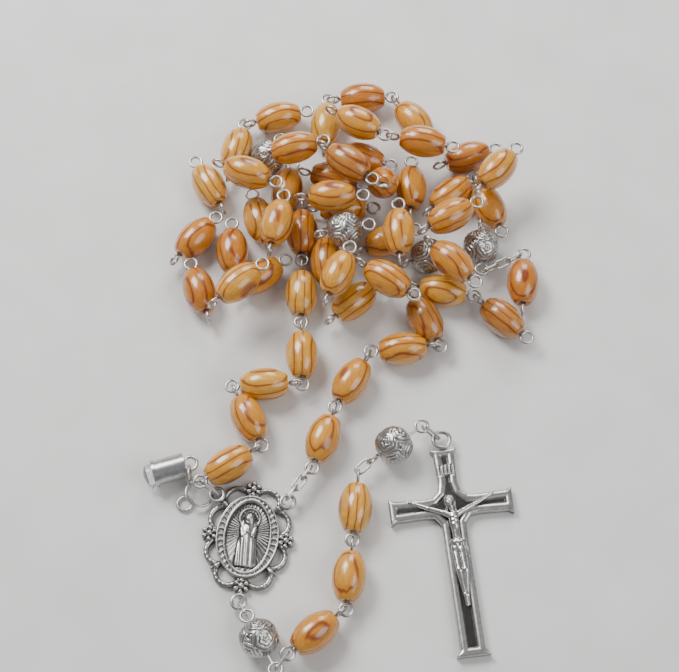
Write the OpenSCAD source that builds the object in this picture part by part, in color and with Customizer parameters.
// Five-decade olive-wood rosary, laid down loosely, with a centre medal, a crucifix and a capsule charm.
// Lengths in millimetres. The object lies on z = 0 and is centred on the origin.

/* [Wood beads] */
// Diameter of an oval wood bead
bead_d = 8; // [7.6:0.1:8.2]
// Length of an oval wood bead
bead_l = 11.5; // [11:0.1:11.6]
// Diameter of the flat at each end of a wood bead
bead_flat_d = 3.2; // [2.8:0.1:3.4]
// Diameter of the hole through a bead
bore_d = 1.7; // [1.4:0.1:1.8]

/* [Rose beads] */
// Diameter of a cast rose bead
rose_d = 9.2; // [8.6:0.1:9.4]
// Length of a rose bead along its hole
rose_l = 8.4; // [8:0.1:8.6]

/* [Wire] */
// Thickness of the eye-pin wire
wire_d = 0.7; // [0.6:0.05:0.75]
// Diameter of an eye loop, measured to the middle of the wire
eye_d = 3; // [2.8:0.1:3.1]
// Thickness of the wire of a small chain link
link_wire_d = 0.6; // [0.5:0.05:0.65]
// Straight length of a small chain link
link_straight = 2.2; // [2:0.1:2.4]
// Width of a small chain link, measured to the middle of the wire
link_w = 2; // [1.9:0.1:2.1]

/* [Centre medal] */
// Width of the medal's oval band
medal_w = 14.8; // [14:0.2:15.2]
// Height of the medal's oval band
medal_h = 20; // [19.4:0.2:20.4]
// Thickness of the medal's band
medal_t = 2.2; // [1.8:0.1:2.4]

/* [Crucifix] */
// Height of the cross, without its ring
cross_h = 50; // [48:0.5:51]
// Width of the cross over its arms
cross_w = 29.4; // [28:0.2:30]
// Thickness of the cross
cross_t = 2.4; // [2:0.1:2.8]

/* [Capsule charm] */
// Diameter of the capsule's metal case
capsule_d = 6; // [5.6:0.1:6.2]
// Length of the capsule's metal case
capsule_l = 7.8; // [7.4:0.1:8]

/* [Hidden] */

$fn = 48;
wood = [0.85, 0.56, 0.25];
silver = [0.72, 0.7, 0.67];
glass = [0.8, 0.85, 0.9, 0.4];
wire_r = wire_d / 2;
eye_r = eye_d / 2;
link_wire_r = link_wire_d / 2;
link_r = link_w / 2;
// Gap between a bead's end and its eye loop
end_gap = 0.15;
// From a wood bead's middle to the middle of either eye loop
loop_at = bead_l / 2 + end_gap + eye_r + wire_r;
// From a rose bead's middle to the middle of its near eye loop
rose_loop_at = rose_l / 2 + end_gap + eye_r + wire_r;

// The whole object is shifted by this much, so that its box is centred on the origin
centre_shift = [-1.55, 7.66, 0];

// Loose heap: one row for each bead, [x, y, z, heading, pitch], in the order of the chain.
// The heading turns from +X towards +Y and the pitch lifts the bead's front end.
decade_1 = [[-9.5, 26.8, 4, -90, 0], [-13.5, 39, 4, 80, 0], [-1.6, 42.6, 4, -14, 0],
    [0.8, 33.8, 4, 0, 0], [-1.9, 32.6, 12.5, 0, 4]];
decade_2 = [[-20.3, 30.4, 4, 105, 0], [-26.6, 51, 4, 76, 0], [-16, 60.7, 4, 14, 0],
    [4.7, 54, 12.4, -28, 0], [21, 48.4, 12.4, -12, 0], [33, 48.7, 4, 18, 0],
    [39.6, 40.4, 12.4, 50, 0], [27.4, 27, 12.6, 30, 0], [14.6, 22.6, 12.4, 90, 0],
    [27.4, 14, 13.4, -45, 0]];
decade_3 = [[12, 24.6, 4, 24, 0], [-3.4, 18.8, 4, 90, 0], [-19.8, 14.6, 4, 36, 0],
    [-27, 21.6, 4, 92, 0], [-33.4, 40.4, 4, 118, 0], [-23.2, 39.4, 12.4, -20, 0],
    [-15.5, 25.2, 12.4, 78, 0], [-24.6, 8.6, 12.4, 42, 0], [-34.8, 10.6, 4, 108, 0],
    [-36.3, 25.2, 4, 50, 0]];
decade_4 = [[-11.6, 46.6, 12.4, 15, 0], [2, 41.2, 14.4, -38, 0], [10.9, 38.6, 8.6, -90, 55],
    [5.6, 48.4, 4, -15, 0], [-3.6, 58.4, 4, 86, 0], [6, 66.5, 4, 3, 0], [19.4, 59.6, 4, -52, 0],
    [18.2, 39.6, 4, 88, 0], [28.4, 37.8, 4, 40, 0], [37.9, 34.3, 4, -67, 0]];
decade_5 = [[45.6, 12.9, 4, 86, 0], [40.1, 3, 4, -42, 0], [25.6, 10.6, 4, -10, 0],
    [3.6, 7.6, 4, 40, 0], [-0.4, 11, 12.8, 68, 0], [11.6, 9.8, 12.4, -34, 0]];

// Rose beads of the heap, placed in the same way
heap_roses = [[1.2, 24.2, 10.8, 12, 0], [35.4, 22.4, 4.8, -90, 0], [-18.4, 48.2, 4.8, 60, 0],
    [22.2, 19.8, 4.8, 20, 0]];

// Short chains in the heap: [start, end, number of links]
heap_chains = [[[36, 15.6, 4.8], [45.2, 20.4, 4.2], 3]];

// Knots of the left strand, from the heap to the medal: points where two neighbours' loops cross
left_knots = [[-9.5, 19, 4], [-9.5, 2.5, 4], [-9, -14, 4], [-25.9, -15, 4], [-18.5, -30.2, 4],
    [-32.3, -38.9, 4]];
// Knots of the right strand, from the heap to its last bead
right_knots = [[16.6, 10.6, 5], [24.6, -4.3, 4], [7.6, -5.8, 4], [-0.8, -19.8, 4], [-6.3, -35.2, 4]];
// Knots of the three pendant beads, from the crucifix to the medal
pendant_knots = [[4.5, -36.5, 4], [3, -53, 4], [1.5, -69.5, 4], [-11.4, -80, 4.8]];

// Centre, turn and ears of the medal
medal_at = [-21.4, -52];
medal_turn = -6;
ear_x = 8.4;
ear_y = 9.2;
ear_z = 2.4;
ear_r = 1.6;
ear_wire_r = 0.45;
loop_y = -15.8;
// Crossing of the arms and turn of the crucifix
cross_at = [26.3, -44.6];
cross_turn = 6.75;
cross_up = 14.3;
cross_ring_r = 2;
cross_ring_wire_r = 0.5;
cross_ring_z = 2.4;
// Middle and heading of the capsule's case
capsule_at = [-40.4, -36, 3.3];
capsule_turn = 17;

function turned(p, a) = [p[0] * cos(a) - p[1] * sin(a), p[0] * sin(a) + p[1] * cos(a)];
function on_medal(x, y, z) = [medal_at[0] + turned([x, y], medal_turn)[0],
    medal_at[1] + turned([x, y], medal_turn)[1], z];
function on_cross(x, y, z) = [cross_at[0] + turned([x, y], cross_turn)[0],
    cross_at[1] + turned([x, y], cross_turn)[1], z];
function between(a, b, f) = a + (b - a) * f;
function heading(v) = atan2(v[1], v[0]);
function pitch(v) = atan2(v[2], norm([v[0], v[1]]));

// Turns a child that lies along +X to a heading and a pitch, and moves it to a point
module put(at, h, p) {
    translate(at)
        rotate([0, 0, h])
            rotate([0, -p, 0])
                children();
}

// Places a child that lies along +X at a point on the way from one knot to another
module put_from(a, b, along) {
    put(between(a, b, along / norm(b - a)), heading(b - a), pitch(b - a))
        children();
}

// Ring of round wire in the XY plane
module wire_ring(r, wr) {
    rotate_extrude()
        translate([r, 0])
            circle(r = wr, $fn = 24);
}

// Oval wood bead along X, turned to an arc, with flat ends and a bore
module wood_bead() {
    flat_r = bead_flat_d / 2;
    sag = bead_d / 2 - flat_r;
    arc_r = ((bead_l / 2) * (bead_l / 2) + sag * sag) / (2 * sag);
    rotate([0, 90, 0])
        difference() {
            rotate_extrude()
                intersection() {
                    translate([bead_d / 2 - arc_r, 0])
                        circle(r = arc_r, $fn = 180);
                    translate([0, -bead_l / 2])
                        square([bead_d, bead_l]);
                }
            cylinder(d = bore_d, h = bead_l + 2, center = true);
        }
}

// Rose bead along X: a ball with flat ends and a bore
module rose_bead() {
    rotate([0, 90, 0])
        difference() {
            rotate_extrude()
                intersection() {
                    circle(d = rose_d, $fn = 96);
                    translate([0, -rose_l / 2])
                        square([rose_d, rose_l]);
                }
            cylinder(d = bore_d, h = rose_d + 2, center = true);
        }
}

// Eye pin along X: an upright loop behind the bead (flat if back_turn is 0), a flat loop in front
module eye_pin(back, front, back_turn = 90) {
    translate([-back, 0, 0])
        rotate([back_turn, 0, 0])
            wire_ring(eye_r, wire_r);
    translate([-back + eye_r, 0, 0])
        rotate([0, 90, 0])
            cylinder(r = wire_r, h = back + front - 2 * eye_r);
    translate([front, 0, 0])
        wire_ring(eye_r, wire_r);
}

// Oval chain link along X, lying flat
module chain_link() {
    half = link_straight / 2;
    for (side = [-1, 1]) {
        translate([side * half, 0, 0])
            rotate([0, 0, side * 90 - 180])
                rotate_extrude(angle = 180)
                    translate([link_r, 0])
                        circle(r = link_wire_r, $fn = 24);
        translate([-half, side * link_r, 0])
            rotate([0, 90, 0])
                cylinder(r = link_wire_r, h = link_straight, $fn = 24);
    }
}

// Chain of links from one point to another, each turned a quarter turn against the last
module chain(from, to, count) {
    for (i = [0 : count - 1])
        put_from(from, to, norm(to - from) * (i + 0.5) / count)
            rotate([i % 2 == 0 ? 90 : 0, 0, 0])
                chain_link();
}

// Row of the heap: a bead where its row says
module heap_bead(row) {
    put([row[0], row[1], row[2]], row[3], row[4])
        children();
}

module heap_beads(rows) {
    color(wood)
        for (row = rows)
            heap_bead(row)
                wood_bead();
}

module heap_eye_pins() {
    color(silver)
        for (row = concat(decade_1, decade_2, decade_3, decade_4, decade_5))
            heap_bead(row)
                eye_pin(loop_at, loop_at);
}

module heap_rose(i) {
    color(silver)
        heap_bead(heap_roses[i])
            rose_bead();
}

module heap_rose_pins() {
    color(silver)
        for (row = heap_roses)
            heap_bead(row)
                eye_pin(rose_loop_at, rose_loop_at);
}

module heap_chain_links() {
    color(silver)
        for (c = heap_chains)
            chain(c[0], c[1], c[2]);
}

// The bead between knots i and i + 1 of a strand
module strand_bead(knots, i) {
    color(wood)
        put_from(knots[i], knots[i + 1], loop_at + eye_r)
            wood_bead();
}

// The eye pin between knots i and i + 1: its upright loop crosses the first knot
module strand_pin(knots, i) {
    color(silver)
        put_from(knots[i], knots[i + 1], loop_at + eye_r)
            eye_pin(loop_at, loop_at);
}

// Chain from the right strand's last knot to the medal's right ear
module right_chain_links() {
    color(silver)
        chain([-6.9, -36, 4.3], [-12.1, -43.4, 4.6], 3);
}

// Outline of an oval, as a polygon
module oval(w, h) {
    polygon([for (a = [0 : 6 : 354]) [w / 2 * cos(a), h / 2 * sin(a)]]);
}

// Flower of six round petals on the medal's frame
module flower() {
    petal_r = 0.62;
    petal_at = 1.35;
    for (a = [30 : 60 : 330])
        rotate([0, 0, a])
            translate([petal_at, 0, 0])
                cylinder(r = petal_r, h = medal_t, $fn = 24);
    cylinder(r = 0.85, h = medal_t + 0.3, $fn = 24);
}

// One curved bar of the openwork frame, bulging away from the medal's middle
module scallop(x, y, a) {
    bar_r = 3.1;
    translate([x, y, 0.3])
        rotate([0, 0, a - 100])
            rotate_extrude(angle = 200)
                translate([bar_r, 0.6])
                    circle(r = 0.6, $fn = 24);
}

module centre_medal() {
    color(silver)
        translate([medal_at[0], medal_at[1], 0])
            rotate([0, 0, medal_turn]) {
                linear_extrude(1)
                    oval(medal_w - 0.4, medal_h - 0.4);
                linear_extrude(medal_t)
                    difference() {
                        oval(medal_w, medal_h);
                        oval(medal_w - 4.4, medal_h - 3);
                    }
                for (sx = [-1, 1])
                    for (sy = [-1, 1]) {
                        scallop(sx * 3.4, sy * 8.7, sy * (90 - sx * 12));
                        scallop(sx * 6.2, sy * 3.9, sx > 0 ? sy * 18 : 180 - sy * 18);
                        translate([sx * 6.3, sy * 7.6, 0])
                            cylinder(r = 0.9, h = medal_t, $fn = 24);
                    }
                for (s = [-1, 1]) {
                    translate([0, s * 11.8, 0])
                        flower();
                    translate([s * 9, 0, 0])
                        flower();
                    translate([s * ear_x, ear_y, ear_z])
                        wire_ring(ear_r, ear_wire_r);
                }
                translate([0, loop_y, ear_z])
                    wire_ring(ear_r, ear_wire_r);
                translate([0, loop_y + ear_r + 0.7, ear_z])
                    rotate([90, 0, 0])
                        cylinder(r = 0.5, h = 1, center = true, $fn = 24);
                // Standing figure in low relief: robe, shoulders, head and halo
                translate([0, -6.6, 0])
                    linear_extrude(1.7)
                        polygon([[-2.4, 0], [2.4, 0], [1.7, 8], [-1.7, 8]]);
                translate([0, 2.2, 0])
                    cylinder(r = 2.2, h = 1.8, $fn = 32);
                translate([0, 5, 0])
                    cylinder(r = 1.6, h = 1.4, $fn = 32);
                translate([0, 5, 1.1])
                    sphere(r = 0.95, $fn = 32);
            }
}

// Upright oval link from one point to another, for the medal's ears and the crucifix
module joining(from, to) {
    color(silver)
        put_from(from, to, norm(to - from) / 2)
            rotate([90, 0, 0])
                joining_link();
}

// Longer oval link along X
module joining_link() {
    half = 1.7;
    r = 1.05;
    for (side = [-1, 1]) {
        translate([side * half, 0, 0])
            rotate([0, 0, side * 90 - 180])
                rotate_extrude(angle = 180)
                    translate([r, 0])
                        circle(r = link_wire_r, $fn = 24);
        translate([-half, side * r, 0])
            rotate([0, 90, 0])
                cylinder(r = link_wire_r, h = 2 * half, $fn = 24);
    }
}

jump_ring_at = [-33.2, -41.4, 1.6];
module charm_jump_ring() {
    color(silver)
        translate(jump_ring_at)
            rotate([0, 18, 14])
                wire_ring(3.2, 0.35);
}

module charm_spare_ring() {
    color(silver)
        translate([-36.6, -43.6, 0.5])
            wire_ring(1.7, 0.4);
}

module capsule_placed() {
    translate(capsule_at)
        rotate([0, 0, capsule_turn])
            children();
}

module capsule_case() {
    wall = 0.5;
    color(silver)
        capsule_placed() {
            rotate([0, 90, 0])
                difference() {
                    union() {
                        translate([0, 0, -capsule_l / 2])
                            cylinder(d = capsule_d, h = capsule_l);
                        translate([0, 0, -capsule_l / 2])
                            cylinder(d = capsule_d + 0.6, h = 0.8);
                    }
                    translate([0, 0, -capsule_l / 2 - 1])
                        cylinder(d = capsule_d - 2 * wall, h = capsule_l);
                }
            translate([capsule_l / 2 + 1.3, 0, 0])
                wire_ring(1.6, 0.4);
        }
}

module capsule_glass() {
    color(glass)
        capsule_placed()
            translate([-capsule_l / 2, 0, 0])
                rotate([0, -90, 0])
                    rotate_extrude()
                        intersection() {
                            translate([0, -1.7])
                                circle(r = 4, $fn = 96);
                            translate([0, -1])
                                square([capsule_d / 2 - 0.55, 5]);
                        }
}

module capsule_filling() {
    color([0.2, 0.17, 0.14])
        capsule_placed()
            rotate([0, 90, 0])
                translate([0, 0, -capsule_l / 2 + 1.2])
                    cylinder(d = capsule_d - 1.2, h = capsule_l - 2.5);
}

module capsule_ring() {
    color(silver)
        put([-35.5, -37.8, 3.1], -88, 0)
            rotate([90, 0, 0])
                wire_ring(2.7, 0.3);
}

// Pendant: medal loop, rose, link, three wood beads, link, rose, two links, crucifix
rose_1_knots = [[-21.8, -70, 3.3], [-14.3, -84, 6.1]];
rose_2_knots = [[6.6, -34.8, 4.6], [19.6, -25.6, 4.7]];

module pendant_rose(knots) {
    color(silver)
        put_from(knots[0], knots[1], rose_loop_at + eye_r)
            rose_bead();
}

module pendant_rose_pin(knots, back_turn) {
    front = norm(knots[1] - knots[0]) - rose_loop_at - eye_r;
    color(silver)
        put_from(knots[0], knots[1], rose_loop_at + eye_r)
            eye_pin(rose_loop_at, front, back_turn);
}

module single_link(from, to, upright) {
    color(silver)
        put_from(from, to, norm(to - from) / 2)
            rotate([upright ? 90 : 0, 0, 0])
                chain_link();
}

cross_ring_at = on_cross(0, cross_up + cross_ring_r + 0.2, cross_ring_z);

// Outline of the cross: straight arms with flared ends and rounded inner corners
module cross_outline(inset) {
    arm = cross_w / 2 - inset;
    foot = cross_h - cross_up - inset;
    head = cross_up - inset;
    neck = 2.3 - inset * 0.75;
    shaft = 2.9 - inset * 0.75;
    flare = 3.3 - inset;
    union() {
        polygon([[-flare, head], [flare, head], [neck + 0.3, head - 1.4], [neck, 6], [neck + 0.5, 3.8],
            [neck + 2, 2.5], [neck + 4, neck], [arm - 1.4, neck + 0.2], [arm, flare], [arm, -flare],
            [arm - 1.4, -neck - 0.2], [neck + 4, -neck], [neck + 2, -2.6], [shaft, -4.4],
            [shaft, -foot + 1.6], [flare + 0.8, -foot], [-flare - 0.8, -foot], [-shaft, -foot + 1.6],
            [-shaft, -4.4], [-neck - 2, -2.6], [-neck - 4, -neck], [-arm + 1.4, -neck - 0.2],
            [-arm, -flare], [-arm, flare], [-arm + 1.4, neck + 0.2], [-neck - 4, neck],
            [-neck - 2, 2.5], [-neck - 0.5, 3.8], [-neck, 6], [-neck - 0.3, head - 1.4]]);
    }
}

// Flat cross with a shallow recess in its front
module cross_plate() {
    difference() {
        linear_extrude(cross_t)
            cross_outline(0);
        translate([0, 0, cross_t - 0.5])
            linear_extrude(1)
                cross_outline(1.3);
    }
}

module cross() {
    color(silver)
        translate([cross_at[0], cross_at[1], 0])
            rotate([0, 0, cross_turn]) {
                cross_plate();
                translate([0, cross_up + cross_ring_r + 0.2, cross_ring_z])
                    wire_ring(cross_ring_r, cross_ring_wire_r);
            }
}

// Rounded bar between two points, for the figure's limbs
module limb(a, ra, b, rb) {
    hull() {
        translate(a)
            sphere(r = ra, $fn = 16);
        translate(b)
            sphere(r = rb, $fn = 16);
    }
}

module corpus() {
    z = cross_t + 0.35;
    color(silver)
        translate([cross_at[0], cross_at[1], 0])
            rotate([0, 0, cross_turn])
                difference() {
                    union() {
                        translate([0, 0.6, z + 0.5])
                            sphere(r = 1.35, $fn = 32);
                        translate([0, -1.8, z + 0.3])
                            rotate([-90, 0, 0])
                                cylinder(r = 0.55, h = 2, $fn = 24);
                        for (s = [-1, 1])
                            limb([s * 1.2, -1.6, z], 0.7, [s * 9.4, 1.7, z], 0.5);
                        limb([0, -2.4, z], 1.45, [0, -8, z], 1.25);
                        limb([-0.3, -9, z], 1.6, [0.2, -11.4, z], 1.3);
                        limb([0.1, -11, z], 1.2, [0.5, -22, z], 0.75);
                    }
                    // the back of the figure lies flat on the cross
                    cross_plate();
                    translate([-20, -40, -5])
                        cube([40, 60, 5 + cross_t - 0.5]);
                }
}

translate(centre_shift)  // heap_beads_decade_1
        heap_beads(decade_1);
translate(centre_shift)  // heap_beads_decade_2
        heap_beads(decade_2);
translate(centre_shift)  // heap_beads_decade_3
        heap_beads(decade_3);
translate(centre_shift)  // heap_beads_decade_4
        heap_beads(decade_4);
translate(centre_shift)  // heap_beads_decade_5
        heap_beads(decade_5);
translate(centre_shift)
        heap_eye_pins();
translate(centre_shift)  // heap_rose_1
        heap_rose(0);
translate(centre_shift)  // heap_rose_2
        heap_rose(1);
translate(centre_shift)  // heap_rose_3
        heap_rose(2);
translate(centre_shift)  // heap_rose_4
        heap_rose(3);
translate(centre_shift)
        heap_rose_pins();
translate(centre_shift)
        heap_chain_links();
translate(centre_shift)  // left_bead_1
        strand_bead(left_knots, 0);
translate(centre_shift)  // left_bead_2
        strand_bead(left_knots, 1);
translate(centre_shift)  // left_bead_3
        strand_bead(left_knots, 2);
translate(centre_shift)  // left_bead_4
        strand_bead(left_knots, 3);
translate(centre_shift)  // left_bead_5
        strand_bead(left_knots, 4);
translate(centre_shift)  // left_pin_1
        strand_pin(left_knots, 0);
translate(centre_shift)  // left_pin_2
        strand_pin(left_knots, 1);
translate(centre_shift)  // left_pin_3
        strand_pin(left_knots, 2);
translate(centre_shift)  // left_pin_4
        strand_pin(left_knots, 3);
translate(centre_shift)  // left_pin_5
        strand_pin(left_knots, 4);
translate(centre_shift)  // right_bead_1
        strand_bead(right_knots, 0);
translate(centre_shift)  // right_bead_2
        strand_bead(right_knots, 1);
translate(centre_shift)  // right_bead_3
        strand_bead(right_knots, 2);
translate(centre_shift)  // right_bead_4
        strand_bead(right_knots, 3);
translate(centre_shift)  // right_pin_1
        strand_pin(right_knots, 0);
translate(centre_shift)  // right_pin_2
        strand_pin(right_knots, 1);
translate(centre_shift)  // right_pin_3
        strand_pin(right_knots, 2);
translate(centre_shift)  // right_pin_4
        strand_pin(right_knots, 3);
translate(centre_shift)
        right_chain_links();
translate(centre_shift)
        centre_medal();
translate(centre_shift)  // medal_joining_link
        joining(left_knots[5] + [-0.4, -0.25, 0.2], on_medal(-ear_x, ear_y, ear_z - 0.4));
translate(centre_shift)
        charm_jump_ring();
translate(centre_shift)
        charm_spare_ring();
translate(centre_shift)
        capsule_case();
translate(centre_shift)
        capsule_glass();
translate(centre_shift)
        capsule_filling();
translate(centre_shift)
        capsule_ring();
translate(centre_shift)  // pendant_rose_1
        pendant_rose(rose_1_knots);
translate(centre_shift)  // pendant_rose_pin_1
        pendant_rose_pin(rose_1_knots, 0);
translate(centre_shift)  // pendant_link_1
        joining(rose_1_knots[1], pendant_knots[3] + [-0.3, -0.2, 0]);
translate(centre_shift)  // pendant_bead_1
        strand_bead(pendant_knots, 0);
translate(centre_shift)  // pendant_bead_2
        strand_bead(pendant_knots, 1);
translate(centre_shift)  // pendant_bead_3
        strand_bead(pendant_knots, 2);
translate(centre_shift)  // pendant_pin_1
        strand_pin(pendant_knots, 0);
translate(centre_shift)  // pendant_pin_2
        strand_pin(pendant_knots, 1);
translate(centre_shift)  // pendant_pin_3
        strand_pin(pendant_knots, 2);
translate(centre_shift)  // pendant_link_2
        single_link(pendant_knots[0], rose_2_knots[0], false);
translate(centre_shift)  // pendant_rose_2
        pendant_rose(rose_2_knots);
translate(centre_shift)  // pendant_rose_pin_2
        pendant_rose_pin(rose_2_knots, 90);
translate(centre_shift)  // pendant_link_3
        joining(rose_2_knots[1] + [0, 0, 0.65], cross_ring_at + [-0.5, 0.3, -0.8]);
translate(centre_shift)  // medal_rose_link
        single_link(on_medal(0, loop_y - 0.3, ear_z - 0.5), rose_1_knots[0] + [0.7, -1.3, 0.3], true);
translate(centre_shift)
        cross();
translate(centre_shift)
        corpus();
